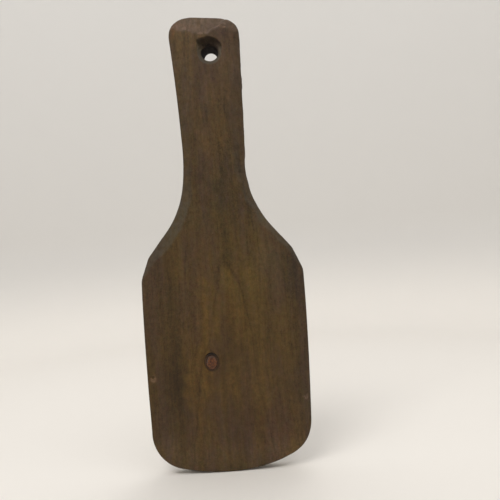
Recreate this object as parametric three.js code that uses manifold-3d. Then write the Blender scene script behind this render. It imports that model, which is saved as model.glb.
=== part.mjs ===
// Hand-carved wooden paddle: a broad flat blade and a short flared handle, cut from one board,
// with a hanging hole through the handle's end and a round knot through the blade.
//
// Millimetres. The origin is the centre of the hanging hole, halfway through the handle.
// +Z runs up the handle, +X is to the right seen from the front, and the front faces -Y.
// The board's back is one flat plane. Its front slopes, so the blade's end is the thinnest place.

import * as THREE from "three";
import { mergeVertices } from "three/addons/utils/BufferGeometryUtils.js";
import Module from "manifold-3d";

const wasm = await Module();
wasm.setup();

// ---------- driving dimensions ----------

const board = {
  thicknessAtHole: 18.4,
  taper: 0.021, // thickness lost for each millimetre down the board
  easedEdge: 1.2, // the rounding of every edge
  curveSteps: 20,
};
const backY = board.thicknessAtHole / 2;

// The bore is widest just inside its mouth and narrows towards the back.
const hole = { radius: 6.35, backRadius: 4.9, sides: 40 };
// The hole's mouth on the front is worn and broken out into a shallow cone, a little up and to the left.
const mouth = { radius: 9.3, depth: 3.4, x: -0.5, z: 1.2 };

// The knot is a stub of branch that was enclosed as the tree grew. It narrows towards the back.
const knot = {
  x: -14.7,
  z: -224.3,
  radius: 3.8,
  barkWall: 1.15,
  gap: 0.3,
  heightToWidth: 1.28,
  narrowing: 0.9,
  sides: 48,
};

// Straight knife facets: each is one flat cut along the line from start to end (x, z) on the face,
// and goes down by `slope` for each millimetre towards the outside.
const handleFacets = [
  { start: [-18.5, 27], end: [-24.4, -86], slope: 0.3 },
  { start: [19.3, -84], end: [14.5, 25], slope: 0.3 },
];
const endFacet = { start: [25, 13.8], end: [-31, 17.2], slope: 0.32 };

// Curved knife facets that follow the outline over the flare and the shoulder. Each is widest at its
// middle and runs out to nothing at its ends.
const shoulderFacets = [
  { side: "left", width: 7.5, slope: 0.5 },
  { side: "right", width: 5.5, slope: 0.6 },
];

// ---------- shared helpers ----------

function boardThickness(z) {
  return board.thicknessAtHole + board.taper * z;
}

function frontY(z) {
  return backY - boardThickness(z);
}

// The level of a face at height z: `face` is -1 for the front and 1 for the back.
function faceY(face, z) {
  return face < 0 ? frontY(z) : backY;
}

function solidFrom(geometry) {
  const bare = geometry.clone();
  bare.deleteAttribute("normal");
  bare.deleteAttribute("uv");
  const merged = mergeVertices(bare, 1e-4);
  return new wasm.Manifold(
    new wasm.Mesh({
      numProp: 3,
      vertProperties: new Float32Array(merged.attributes.position.array),
      triVerts: new Uint32Array(merged.index.array),
    }),
  );
}

function meshFrom(name, solid, material) {
  const { vertProperties, triVerts } = solid.getMesh();
  const geometry = new THREE.BufferGeometry();
  geometry.setAttribute("position", new THREE.BufferAttribute(vertProperties, 3));
  geometry.setIndex(new THREE.BufferAttribute(triVerts, 1));
  geometry.computeVertexNormals();
  const mesh = new THREE.Mesh(geometry, material);
  mesh.name = name;
  return mesh;
}

// ---------- the board ----------

// The shoulders, from the neck's narrowest place out to the corner where the blade's side begins:
// a curved flare, then two straight knife cuts. The left one runs down and the right one runs up.
function leftShoulder() {
  const path = new THREE.Path();
  path.moveTo(-24.9, -67.8);
  path.bezierCurveTo(-24.4, -98.8, -31, -116.7, -45, -131.8);
  path.lineTo(-55.8, -145.5);
  path.lineTo(-61.1, -160);
  path.quadraticCurveTo(-61.7, -161.9, -61.7, -165.2);
  return path;
}

function rightShoulder() {
  const path = new THREE.Path();
  path.moveTo(56.8, -165.1);
  path.quadraticCurveTo(56.8, -161.4, 56.1, -159.5);
  path.lineTo(49.7, -144.6);
  path.lineTo(39, -131.6);
  path.bezierCurveTo(14.4, -102.8, 20.2, -77.4, 20.6, -65.7);
  return path;
}

// The outline seen from the front, anticlockwise from the left of the handle's end. It was cut by eye,
// so the two sides don't match: the left corner of the end is rounder and the right of the blade's
// end is higher.
function paddleOutline() {
  const outline = new THREE.Shape();
  outline.moveTo(-28.8, 11.3);
  // left side of the handle, drawn in towards the neck
  outline.quadraticCurveTo(-25.8, -29.4, -24.9, -67.8);
  outline.curves.push(...leftShoulder().curves);
  outline.currentPoint.set(-61.7, -165.2);
  // left side of the blade and its lower corner
  outline.quadraticCurveTo(-63, -217.5, -62.1, -273.3);
  outline.bezierCurveTo(-63, -283.8, -55.9, -298.6, -40.8, -301.8);
  // the shallow curve of the blade's end and the lower right corner
  outline.bezierCurveTo(-18, -307.2, 12.6, -309.2, 40.3, -295.4);
  outline.bezierCurveTo(48.8, -291.3, 55.2, -283.2, 55.2, -269.2);
  // right side of the blade, up to the shoulder's corner
  outline.quadraticCurveTo(57.4, -213.5, 56.8, -165.1);
  outline.curves.push(...rightShoulder().curves);
  outline.currentPoint.set(20.6, -65.7);
  // right side of the handle and the end's two corners
  outline.lineTo(22.2, 10.6);
  outline.bezierCurveTo(22.3, 20.3, 16.3, 24.5, 8, 26);
  outline.lineTo(-12.1, 27.4);
  outline.bezierCurveTo(-24.7, 27.3, -28.9, 18.8, -28.8, 11.3);
  return outline;
}

// The outline sawn out of a thick plank, with its edges eased and its front planed to the taper.
function boardBlank() {
  const full = board.thicknessAtHole;
  const blank = new THREE.ExtrudeGeometry(paddleOutline(), {
    depth: full - 2 * board.easedEdge,
    curveSegments: board.curveSteps,
    bevelEnabled: true,
    bevelThickness: board.easedEdge,
    bevelSize: board.easedEdge,
    bevelOffset: -board.easedEdge,
    bevelSegments: 1,
  });
  blank.translate(0, 0, board.easedEdge);
  blank.rotateX(Math.PI / 2);
  const points = blank.attributes.position;
  for (let i = 0; i < points.count; i += 1) {
    const depthShare = -points.getY(i) / full;
    points.setY(i, backY - depthShare * boardThickness(points.getZ(i)));
  }
  return solidFrom(blank);
}

// A block whose underside is a straight facet's plane. Going from start to end, the wood that stays is
// on the left, seen from the front.
function straightFacetCutter(facet, face) {
  const onFace = ([x, z]) => new THREE.Vector3(x, faceY(face, z), z);
  const start = onFace(facet.start);
  const end = onFace(facet.end);
  const along = end.clone().sub(start).normalize();
  const outward = new THREE.Vector3(along.z, 0, -along.x).normalize();
  outward.y = -face * facet.slope;
  const up = new THREE.Vector3().crossVectors(along, outward).normalize();
  up.multiplyScalar(Math.sign(up.y * face));
  const across = new THREE.Vector3().crossVectors(up, along);
  const width = 60;
  const height = 20;
  const block = new THREE.BoxGeometry(start.distanceTo(end), width, height);
  const middle = start.clone().add(end).multiplyScalar(0.5).addScaledVector(up, height / 2);
  block.applyMatrix4(new THREE.Matrix4().makeBasis(along, across, up).setPosition(middle));
  return solidFrom(block);
}

// A bar with a four-sided section that follows an edge. Its sloping underside is the facet.
function curvedFacetCutter(path, facet, face) {
  const stations = 40;
  const reach = 0.08; // the direction is taken this far ahead and behind, so it turns gently at corners
  const overrun = 4;
  const clearance = 3;
  const corners = [];
  for (let i = 0; i <= stations; i += 1) {
    const share = i / stations;
    const edge = path.getPointAt(share);
    const behind = path.getPointAt(Math.max(0, share - reach));
    const tangent = path.getPointAt(Math.min(1, share + reach)).sub(behind).normalize();
    const width = facet.width * Math.sin(Math.PI * share);
    const inner = [edge.x - tangent.y * width, edge.y + tangent.x * width];
    const outer = [edge.x + tangent.y * overrun, edge.y - tangent.x * overrun];
    const innerY = faceY(face, inner[1]);
    const outerY = faceY(face, outer[1]) - face * facet.slope * (width + overrun);
    const raisedY = innerY + face * clearance;
    corners.push(inner[0], innerY, inner[1], inner[0], raisedY, inner[1]);
    corners.push(outer[0], raisedY, outer[1], outer[0], outerY, outer[1]);
  }
  const faces = [];
  const addQuad = (a, b, c, d) => faces.push(...(face < 0 ? [a, b, c, a, c, d] : [a, c, b, a, d, c]));
  for (let i = 0; i < stations; i += 1) {
    for (let side = 0; side < 4; side += 1) {
      const next = (side + 1) % 4;
      addQuad(4 * i + side, 4 * i + next, 4 * i + 4 + next, 4 * i + 4 + side);
    }
  }
  const last = 4 * stations;
  addQuad(3, 2, 1, 0);
  addQuad(last, last + 1, last + 2, last + 3);
  const bar = new THREE.BufferGeometry();
  bar.setAttribute("position", new THREE.Float32BufferAttribute(corners, 3));
  bar.setIndex(faces);
  return solidFrom(bar);
}

// A cone or cylinder along Y, from the radius at the front to the radius at the back.
function plugAlongY(frontRadius, backRadius, yFront, yBack, sides) {
  const plug = new THREE.CylinderGeometry(backRadius, frontRadius, yBack - yFront, sides);
  plug.translate(0, (yBack + yFront) / 2, 0);
  return plug;
}

function hangingHole() {
  const front = frontY(mouth.z);
  const throat = front + mouth.depth; // the level where the mouth meets the bore
  const overrun = 5;
  const taper = ((hole.radius - hole.backRadius) / (backY - throat)) * overrun;
  const nearRadius = hole.radius + taper;
  const farRadius = hole.backRadius - taper;
  const bore = solidFrom(plugAlongY(nearRadius, farRadius, throat - overrun, backY + overrun, hole.sides));
  const widening = (mouth.radius - hole.radius) / mouth.depth;
  const above = 2;
  const coneTop = mouth.radius + above * widening;
  const cone = plugAlongY(coneTop, hole.radius, front - above, throat, hole.sides);
  cone.translate(mouth.x, 0, mouth.z);
  return bore.add(solidFrom(cone));
}

// The knot's place, as a taller-than-wide cone that is `grow` bigger all round than the branch wood.
function knotCone(grow) {
  const reach = 12;
  const half = (knot.radius * (1 - knot.narrowing) * reach) / boardThickness(knot.z);
  const cone = plugAlongY(knot.radius + grow + half, knot.radius + grow - half, -reach, reach, knot.sides);
  cone.scale(1, 1, knot.heightToWidth);
  cone.translate(knot.x, 0, knot.z);
  return solidFrom(cone);
}

const bareBlank = boardBlank();

function paddleBodySolid() {
  const shoulders = { left: leftShoulder(), right: rightShoulder() };
  const cuts = [straightFacetCutter(endFacet, -1)];
  for (const face of [-1, 1]) {
    for (const facet of handleFacets) {
      cuts.push(straightFacetCutter(facet, face));
    }
    for (const facet of shoulderFacets) {
      cuts.push(curvedFacetCutter(shoulders[facet.side], facet, face));
    }
  }
  cuts.push(hangingHole());
  cuts.push(knotCone(2 * knot.gap + knot.barkWall));
  return cuts.reduce((solid, cut) => solid.subtract(cut), bareBlank);
}

// ---------- materials ----------

const boardWood = new THREE.MeshStandardMaterial({ color: 0x4b3a26, roughness: 0.62, metalness: 0 });
const knotWood = new THREE.MeshStandardMaterial({ color: 0x6e4126, roughness: 0.55, metalness: 0 });
const knotBark = new THREE.MeshStandardMaterial({ color: 0x20160e, roughness: 0.85, metalness: 0 });

// ---------- the pieces ----------

const paddleBody = meshFrom("paddle_body", paddleBodySolid(), boardWood);

const knotCore = meshFrom("knot_core", knotCone(0).intersect(bareBlank), knotWood);

const barkSleeve = knotCone(knot.gap + knot.barkWall).subtract(knotCone(knot.gap)).intersect(bareBlank);
const knotBarkRing = meshFrom("knot_bark_ring", barkSleeve, knotBark);

const paddle = new THREE.Group();
paddle.add(paddleBody, knotCore, knotBarkRing);

export default paddle;
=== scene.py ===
import math

import bmesh
import bpy
import numpy as np
from mathutils import Matrix, Vector
from mathutils.geometry import delaunay_2d_cdt


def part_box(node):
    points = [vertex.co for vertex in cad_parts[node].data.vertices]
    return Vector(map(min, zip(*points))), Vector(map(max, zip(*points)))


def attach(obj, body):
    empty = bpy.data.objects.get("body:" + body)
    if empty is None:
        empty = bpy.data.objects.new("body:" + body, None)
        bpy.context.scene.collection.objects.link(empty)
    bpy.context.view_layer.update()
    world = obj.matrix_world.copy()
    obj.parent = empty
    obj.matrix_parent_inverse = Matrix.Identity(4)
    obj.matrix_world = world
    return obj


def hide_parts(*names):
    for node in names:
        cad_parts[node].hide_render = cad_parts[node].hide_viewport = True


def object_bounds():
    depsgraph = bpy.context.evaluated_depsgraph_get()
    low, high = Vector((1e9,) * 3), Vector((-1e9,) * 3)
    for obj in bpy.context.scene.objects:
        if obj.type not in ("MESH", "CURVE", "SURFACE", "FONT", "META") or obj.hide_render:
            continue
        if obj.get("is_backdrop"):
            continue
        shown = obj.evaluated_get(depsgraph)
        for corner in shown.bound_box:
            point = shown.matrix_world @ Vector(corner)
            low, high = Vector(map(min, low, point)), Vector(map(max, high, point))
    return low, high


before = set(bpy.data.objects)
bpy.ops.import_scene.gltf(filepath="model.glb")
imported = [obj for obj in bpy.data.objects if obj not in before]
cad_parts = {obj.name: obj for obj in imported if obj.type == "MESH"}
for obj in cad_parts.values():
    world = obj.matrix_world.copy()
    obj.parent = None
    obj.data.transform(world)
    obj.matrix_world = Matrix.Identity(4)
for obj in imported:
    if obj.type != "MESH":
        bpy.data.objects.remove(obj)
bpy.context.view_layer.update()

# A hand-carved wooden paddle. Shapes are worked out in millimetres, as (x, z) places on the board
# seen from the front and a y for their depth, and become metres only when a mesh is made. The front
# faces -Y.

MM = 0.001

# ---------- Sizes read from the frame ----------


def node_box(node):
    low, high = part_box(node)
    return np.array(low) / MM, np.array(high) / MM


def section_loops(node, level):
    """The closed loops, as arrays of (x, z), where the node's walls cross the plane y = level."""
    mesh = bmesh.new()
    mesh.from_mesh(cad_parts[node].data)
    bmesh.ops.remove_doubles(mesh, verts=mesh.verts, dist=1e-6)
    everything = mesh.verts[:] + mesh.edges[:] + mesh.faces[:]
    plane = {"plane_co": (0, level * MM, 0), "plane_no": (0, 1, 0)}
    cut = bmesh.ops.bisect_plane(mesh, geom=everything, dist=1e-8, **plane)["geom_cut"]
    waiting = {part for part in cut if isinstance(part, bmesh.types.BMEdge)}
    loops = []
    while waiting:
        edge = waiting.pop()
        start, here = edge.verts
        loop = [start, here]
        while here is not start:
            edge = next(other for other in here.link_edges if other in waiting)
            waiting.discard(edge)
            here = edge.other_vert(here)
            loop.append(here)
        loops.append(np.array([(v.co.x / MM, v.co.z / MM) for v in loop[:-1]]))
    mesh.free()
    return loops


def signed_area(loop):
    x, z = loop.T
    return 0.5 * float(np.sum(x * np.roll(z, -1) - np.roll(x, -1) * z))


def resample(loop, step):
    """The same closed loop, anticlockwise from its lowest point, with points an even step apart."""
    if signed_area(loop) < 0:
        loop = loop[::-1]
    loop = np.roll(loop, -int(np.argmin(loop[:, 1])), axis=0)
    closed = np.vstack([loop, loop[:1]])
    along = np.concatenate([[0], np.cumsum(np.hypot(*np.diff(closed, axis=0).T))])
    stops = np.linspace(0, along[-1], max(8, round(along[-1] / step)), endpoint=False)
    return np.stack([np.interp(stops, along, closed[:, i]) for i in (0, 1)], axis=1)


def smooth_closed(loop, passes):
    for _ in range(passes):
        loop = 0.5 * loop + 0.25 * (np.roll(loop, 1, axis=0) + np.roll(loop, -1, axis=0))
    return loop


def outward_normals(loop):
    """Outward unit normals of an anticlockwise loop."""
    tangent = np.roll(loop, -1, axis=0) - np.roll(loop, 1, axis=0)
    tangent /= np.hypot(*tangent.T)[:, None]
    return np.stack([tangent[:, 1], -tangent[:, 0]], axis=1)


MID_WALL = 3.0  # a plane y that crosses every side wall of the board between its facets
THROAT = -5.5  # a plane y just inside the bore, behind its broken mouth
EDGE_STEP = 1.1
EDGE_SMOOTHING = 2  # passes over the outline that round the corners between its facets

body_low, body_high = node_box("paddle_body")
core_low, core_high = node_box("knot_core")
ring_low, ring_high = node_box("knot_bark_ring")

outline = max(section_loops("paddle_body", MID_WALL), key=lambda loop: abs(signed_area(loop)))
outline = smooth_closed(resample(outline, EDGE_STEP), EDGE_SMOOTHING)

BACK = body_high[1]
TAPER = 0.021  # thickness lost for each millimetre down the board


def front_level(z):
    """The y of the front's plane, which slopes from the thick handle to the thin end of the blade."""
    return -BACK - TAPER * z


def bore_radius(level):
    """The hanging hole's radius where it crosses the plane y = level. The hole is at the origin."""
    loops = section_loops("paddle_body", level)
    loop = min(loops, key=lambda loop: float(np.hypot(*loop.mean(axis=0))))
    return float(np.hypot(*loop.T).mean())


BORE = bore_radius(THROAT)
BORE_AT_BACK = bore_radius(BACK - 0.1)
KNOT = np.array([(core_low[0] + core_high[0]) / 2, (core_low[2] + core_high[2]) / 2])
KNOT_CORE = np.array([core_high[0] - core_low[0], core_high[2] - core_low[2]]) / 2
KNOT_RING = np.array([ring_high[0] - ring_low[0], ring_high[2] - ring_low[2]]) / 2
KNOT_SEAM = 0.1  # the crack left round the bark, where the board's wood has shrunk away
KNOT_NARROWING = 0.1  # share by which the knot is smaller at the back

# ---------- Helpers for shapes ----------


def soft_noise(x, z, wavelength, seed, waves=14):
    """Smooth noise of about unit size: plane waves of mixed direction and length."""
    chance = np.random.default_rng(seed)
    total = np.zeros(np.shape(x))
    for _ in range(waves):
        angle, phase = chance.uniform(0, 2 * math.pi, 2)
        pitch = 2 * math.pi / (wavelength * chance.uniform(0.7, 1.5))
        total = total + np.sin(pitch * (x * math.cos(angle) + z * math.sin(angle)) + phase)
    return total / math.sqrt(waves / 2)


def soft_positive(t, blend):
    """max(t, 0) with its corner rounded over the blend distance either side."""
    return np.where(t > blend, t, np.where(t < -blend, 0.0, (t + blend) ** 2 / (4 * blend)))


def smooth_step(low, high, value):
    t = np.clip((value - low) / (high - low), 0, 1)
    return t * t * (3 - 2 * t)


def nearest_on_outline(points):
    """For each point, its distance to the outline and the outline's nearest place."""
    start, end = outline, np.roll(outline, -1, axis=0)
    run = end - start
    length2 = np.sum(run * run, axis=1)
    distance, place = np.empty(len(points)), np.empty((len(points), 2))
    for first in range(0, len(points), 2000):
        some = points[first : first + 2000, None, :]
        share = np.clip(np.sum((some - start) * run, axis=2) / length2, 0, 1)
        foot = start + share[..., None] * run
        gap = np.hypot(*np.moveaxis(some - foot, 2, 0))
        best = np.argmin(gap, axis=1)
        rows = np.arange(len(best))
        distance[first : first + 2000] = gap[rows, best]
        place[first : first + 2000] = foot[rows, best]
    return distance, place


# ---------- The board's relief ----------

# Every relief function gives depths below the front's or the back's plane.

# The long knife facets down the two sides, from the top: height z, width of the facet, slope of its cut
FRONT_LEFT = [(16, 0, 0.12), (8, 6, 0.12), (-4, 12.5, 0.13), (-33, 10.7, 0.17), (-77, 6.4, 0.24),
              (-98, 7, 0.34), (-118, 9, 0.4), (-132, 9.3, 0.42), (-140, 8, 0.45), (-150, 4.6, 0.5),
              (-157, 2.8, 0.55), (-166, 1.0, 0.5), (-175, 0, 0.4)]
FRONT_RIGHT = [(14, 0, 0.15), (4, 7, 0.18), (-40, 8.4, 0.2), (-79, 8.2, 0.26), (-98, 6.6, 0.36),
               (-115, 5, 0.5), (-140, 3.8, 0.55), (-155, 2.2, 0.6), (-164, 0.8, 0.5), (-175, 0, 0.4)]
BACK_LEFT = [(24, 0, 0.2), (12, 7, 0.28), (-40, 8, 0.26), (-80, 6, 0.3), (-110, 6, 0.45),
             (-140, 5, 0.5), (-158, 2.5, 0.5), (-172, 0, 0.4)]
BACK_RIGHT = [(24, 0, 0.2), (12, 8, 0.26), (-40, 7, 0.26), (-80, 6.5, 0.3), (-110, 5.5, 0.45),
              (-140, 4.5, 0.5), (-158, 2, 0.5), (-172, 0, 0.4)]
MIDLINE = -2.5
EASED = 1.15  # radius of the outline's worn edges
HOLE_EASED = 0.9  # radius of the hole's worn edge on the back


def along_side(keys, z):
    """Width and slope of a side's facet at each height z."""
    heights, widths, slopes = (np.array(column, float) for column in zip(*keys))
    return np.interp(-z, -heights, widths), np.interp(-z, -heights, slopes)


def side_facets(distance, place, left, right):
    """Depth of the facet that runs down each side, and how fully a point lies on it (0 to 1)."""
    left_width, left_slope = along_side(left, place[:, 1])
    right_width, right_slope = along_side(right, place[:, 1])
    on_left = place[:, 0] < MIDLINE
    width = np.where(on_left, left_width, right_width)
    slope = np.where(on_left, left_slope, right_slope)
    wobble = 0.35 * soft_noise(place[:, 0], place[:, 1], 22, 5)
    inside = np.where(width > 0.1, width + wobble, 0) - distance
    return slope * soft_positive(inside, 0.45), smooth_step(-1.0, 1.5, inside) * (width > 0.1)


def worn_edge(distance, radius):
    """Depth of an edge rounded to the radius, at a distance in from it."""
    reach = np.clip(radius - distance, 0, radius)
    return radius - np.sqrt(radius**2 - reach**2)


def plane_cut(x, z, start, end, slope, blend=0.35, wander=0.0):
    """Depth of one flat cut that starts at the line start-end and goes down towards its right.

    The line wanders by about `wander`, and the crease there is rounded over the blend distance."""
    run = np.array(end, float) - np.array(start, float)
    run /= np.hypot(*run)
    beyond = (x - start[0]) * run[1] - (z - start[1]) * run[0]
    beyond = beyond + wander * soft_noise(x, z * 0.3, 5.5, 14)
    return slope * soft_positive(beyond, blend)


# The flat cuts across the handle's end, as plane_cut takes them. The one beside the hole bounds the
# left one, and a crest stays between it and the right one.
LEFT_END = ((-4, 12.5), (-28, 17.7), 0.34, 0.35, 0.35)
BESIDE_HOLE = ((8.5, 17.8), (-2.9, 12.4), 1.1, 0.5, 0.25)
RIGHT_END = ((24, 11.6), (8.5, 17.8), 0.54, 1.0, 0.3)
BACK_END = ((24, 20.5), (-30, 21.5), 0.4)


def front_end_cuts(x, z):
    """Depth of the cuts across the handle's end on the front, and how pale they are painted: fresher
    wood, with a painted highlight where they face up.
    """
    left = np.minimum(plane_cut(x, z, *LEFT_END), plane_cut(x, z, *BESIDE_HOLE))
    right = plane_cut(x, z, *RIGHT_END)
    fresh_and_lit = smooth_step(0.0, 0.3, left) + 0.45 * smooth_step(0.05, 1.2, right)
    return np.maximum(left, right), np.clip(fresh_and_lit, 0, 1)


# The hole's broken mouth on the front, round the bore: direction in degrees, reach, depth at the bore.
MOUTH = [(-180, 8.7, 2.0), (-137, 9.3, 1.9), (-94, 9.0, 1.9), (-49, 8.8, 2.0), (-4, 8.6, 2.4),
         (20, 9.8, 3.2), (47, 10.4, 4.2), (75, 10.7, 5.0), (92, 11.1, 5.4), (109, 11.4, 5.5),
         (123, 12.0, 5.3), (138, 11.8, 4.6), (149, 10.5, 3.6), (162, 9.3, 2.6), (180, 8.7, 2.0)]


def mouth_relief(x, z):
    """Depth of the worn, broken mouth, how fully a point lies in it, and how dark it is painted: grime
    and painted shade on its upper ledge.

    The upper part is a steep broken ledge, and the lower part a bevel worn smooth."""
    radius, angle = np.hypot(x, z), np.degrees(np.arctan2(z, x))
    degrees, reach, depth = (np.array(column, float) for column in zip(*MOUTH))
    reach, depth = np.interp(angle, degrees, reach), np.interp(angle, degrees, depth)
    broken = smooth_step(6, 30, angle) * (1 - smooth_step(122, 168, angle))
    torn = smooth_step(88, 118, angle) * (1 - smooth_step(158, 175, angle))
    ragged = np.sin(np.radians(angle * 9)) + 0.7 * np.sin(np.radians(angle * 19 + 40))
    reach = reach + 0.45 * torn * ragged
    share = np.clip((reach - radius) / (reach - BORE), 0, 1)
    ledge = 1 - (1 - share) ** 2.6
    profile = share * (1 - broken) + ledge * broken
    steps = torn * 0.45 * np.sin(share * 10 + angle * 0.13) * share * (1 - share)
    inside = smooth_step(0, 0.06, share)
    # the ledge's grime and painted shade are lighter at its torn left end, and at its right end lie only
    # along its rim
    torn_end = np.exp(-(((angle - 150) / 26) ** 2))
    shelf_end = np.exp(-(((angle - 30) / 24) ** 2))
    rim = np.exp(-(((share - 0.12) / 0.1) ** 2))
    shelf = smooth_step(0.3, 0.5, share) * (1 - smooth_step(0.75, 0.95, share))
    dirt_and_shade = 0.55 + 0.45 * smooth_step(0.45, 1.0, share)
    dirt_and_shade += shelf_end * (0.4 * rim - 0.3 * shelf)
    dirt_and_shade *= (1 - 0.4 * torn_end) * (1 + 0.14 * soft_noise(x, z, 2.6, 15))
    dirt_and_shade = inside * broken * np.clip(dirt_and_shade, 0, 1)
    return depth * (profile + steps), inside, dirt_and_shade


# Chips and dents on the front: place (x, z), radii, depth, how pale the bare wood in it is. Some pale
# ones on the handle's end are painted highlights.
CHIPS = [
    # a chip with dark pits in the blade's left edge
    ((-58.2, -233.8), (2.3, 2.8), 0.75, 1.15),
    ((-58.3, -232.7), (0.95, 1.0), 0.8, -1.7),
    ((-60.3, -231.4), (0.9, 0.8), 0.4, -1.2),
    # a bruise in its right edge
    ((53.3, -253.3), (0.8, 1.5), 0.4, 0.8),
    ((52.2, -255.4), (1.2, 1.1), 0.5, 1.5),
    ((50.6, -253.9), (1.5, 0.8), 0.3, 0.7),
    # nicks and scores in the neck and the shoulders
    ((-7.4, -130.2), (0.55, 0.55), 0.15, 1.0),
    ((-2.0, -103.7), (0.5, 0.5), 0.12, 0.7),
    ((29.5, -138.0), (1.9, 0.45), 0.14, 0.7),
    ((7.9, -155.2), (1.5, 0.4), 0.1, 0.5),
    # pale marks on the handle's end: bare wood in bruises, and painted highlights along the crests
    # between its cuts
    ((-5.8, 13.4), (2.6, 0.8), 0.1, 0.95),
    ((7.4, 18.3), (2.4, 1.0), 0.05, 0.7),
    ((10.8, 16.9), (2.4, 1.0), 0.05, 0.6),
    ((-18.5, 17.6), (3.2, 0.8), 0.1, 0.4),
    ((12.5, 17.0), (1.6, 0.8), 0.1, 0.5),
]
DENTS = 46  # on each face


def dents(x, z, seed):
    """Depth of the small shallow dents from use, scattered over a face."""
    chance = np.random.default_rng(seed)
    depth = np.zeros_like(x)
    for _ in range(DENTS):
        at_x, at_z = chance.uniform(-58, 54), chance.uniform(-298, 20)
        across, down = chance.uniform(0.7, 2.4), chance.uniform(0.7, 3.4)
        deep = chance.uniform(0.04, 0.15)
        depth += deep * np.exp(-(((x - at_x) / across) ** 2) - ((z - at_z) / down) ** 2)
    return depth


def chips(x, z):
    """Depth of the named chips, and their paleness (negative where it is a dark pit)."""
    depth, pale = np.zeros_like(x), np.zeros_like(x)
    for (at_x, at_z), (across, down), deep, tone in CHIPS:
        share = np.exp(-((((x - at_x) / across) ** 2 + ((z - at_z) / down) ** 2) ** 1.5))
        depth += deep * share
        pale += tone * share
    return depth, np.clip(pale, -1, 1)


def knot_radius_share(x, z):
    """1 on the rim of the board's knot hole, more outside it."""
    rim = KNOT_RING + KNOT_SEAM
    return np.hypot((x - KNOT[0]) / rim[0], (z - KNOT[1]) / rim[1])


def edge_masks(distance):
    """How near a point is to the outline: its worn rim, and the broader darker border inside that."""
    return {"rim": np.exp(-distance / 1.3), "border": np.exp(-((distance / 10) ** 1.5))}


def front_relief(points, distance, place):
    x, z = points.T
    facets, on_facet = side_facets(distance, place, FRONT_LEFT, FRONT_RIGHT)
    end_cut, fresh_and_lit_cut = front_end_cuts(x, z)
    carved = np.maximum(facets, end_cut)
    mouth, in_mouth, dirt_and_shade = mouth_relief(x, z)
    chip, pale = chips(x, z)
    swell = -0.18 * np.exp(-((knot_radius_share(x, z) - 1.3) ** 2) / 0.12)  # raised round the knot
    undulation = 0.1 * soft_noise(x, z, 46, 11) + 0.045 * soft_noise(x * 1.6, z * 0.5, 11, 12)
    flats = 0.05 * soft_noise(x * 0.7, z * 1.3, 9, 13) * np.maximum(on_facet, end_cut > 0.3)
    depth = np.maximum(carved, mouth) + worn_edge(distance, EASED) + chip + swell + undulation + flats
    depth += dents(x, z, 21)
    masks = {
        "facet": on_facet,
        "end_cut": fresh_and_lit_cut * (1 - in_mouth),
        # the mouth mask carries a painted highlight on its lower bevel
        "mouth": in_mouth * (1 - dirt_and_shade),
        # the ledge's grime and painted shade
        "dirt_and_shade": dirt_and_shade,
        "pale": pale,
    }
    return depth, masks | edge_masks(distance)


def back_relief(points, distance, place):
    x, z = points.T
    facets, on_facet = side_facets(distance, place, BACK_LEFT, BACK_RIGHT)
    end_cut = plane_cut(x, z, *BACK_END)
    from_hole = np.hypot(x, z) - BORE_AT_BACK
    hole_rim = worn_edge(from_hole, HOLE_EASED)
    undulation = 0.08 * soft_noise(x, z, 40, 31) + 0.05 * soft_noise(x * 1.7, z * 0.4, 10, 32)
    flats = 0.05 * soft_noise(x * 0.7, z * 1.3, 9, 33) * on_facet
    depth = np.maximum(facets, end_cut) + worn_edge(distance, EASED) + hole_rim + undulation + flats
    depth += dents(x, z, 41)
    masks = {
        "facet": on_facet,
        "end_cut": smooth_step(0.05, 0.5, end_cut),
        "mouth": np.zeros_like(x),
        "dirt_and_shade": 0.6 * smooth_step(3.0, 0.3, from_hole),
        "pale": np.zeros_like(x),
    }
    return depth, masks | edge_masks(distance)
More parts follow.
